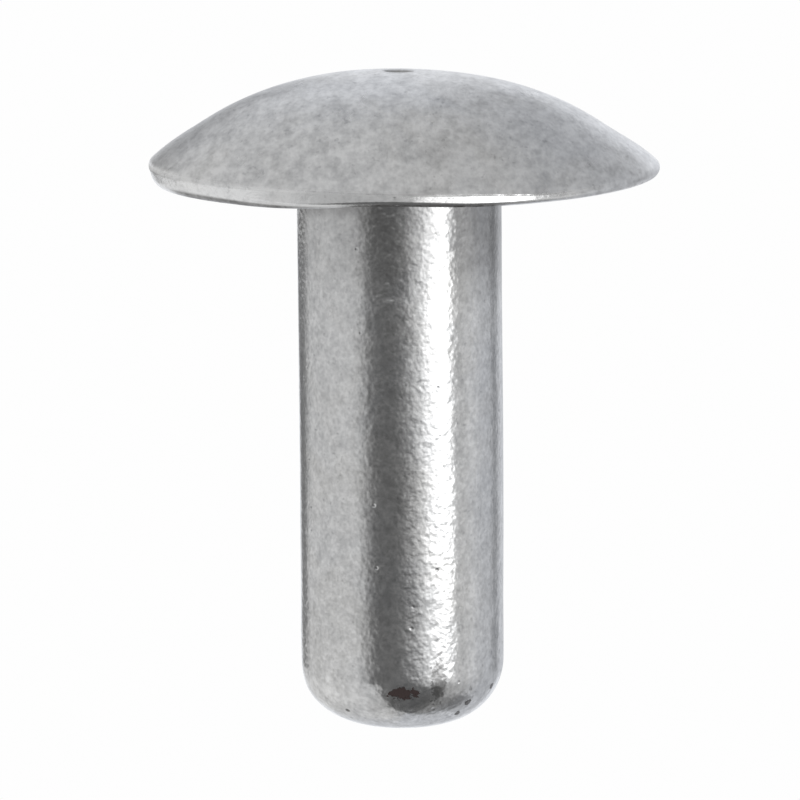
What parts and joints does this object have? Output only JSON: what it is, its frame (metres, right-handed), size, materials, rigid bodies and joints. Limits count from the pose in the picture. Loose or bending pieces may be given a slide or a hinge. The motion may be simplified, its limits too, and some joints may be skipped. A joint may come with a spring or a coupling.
{
  "type": "brazier head rivet",
  "caption": "Solid aluminium rivet with a wide low domed head, a centre dimple, and a plain round shank with a rounded end.",
  "frame": {"origin": "centre of the shank's flat cut end, which the rivet stands on", "axes": "+Z along the shank's axis, from the cut end towards the head; the form is turned about it, so X and Y are free"},
  "size_m": [0.0158, 0.0158, 0.0205],
  "materials": {
    "aluminium": "tumbled bare aluminium, satin on the head and brighter with a fine orange peel on the shank"
  },
  "bodies": {
    "root": {"rivet": "aluminium"}
  },
  "joints": []
}
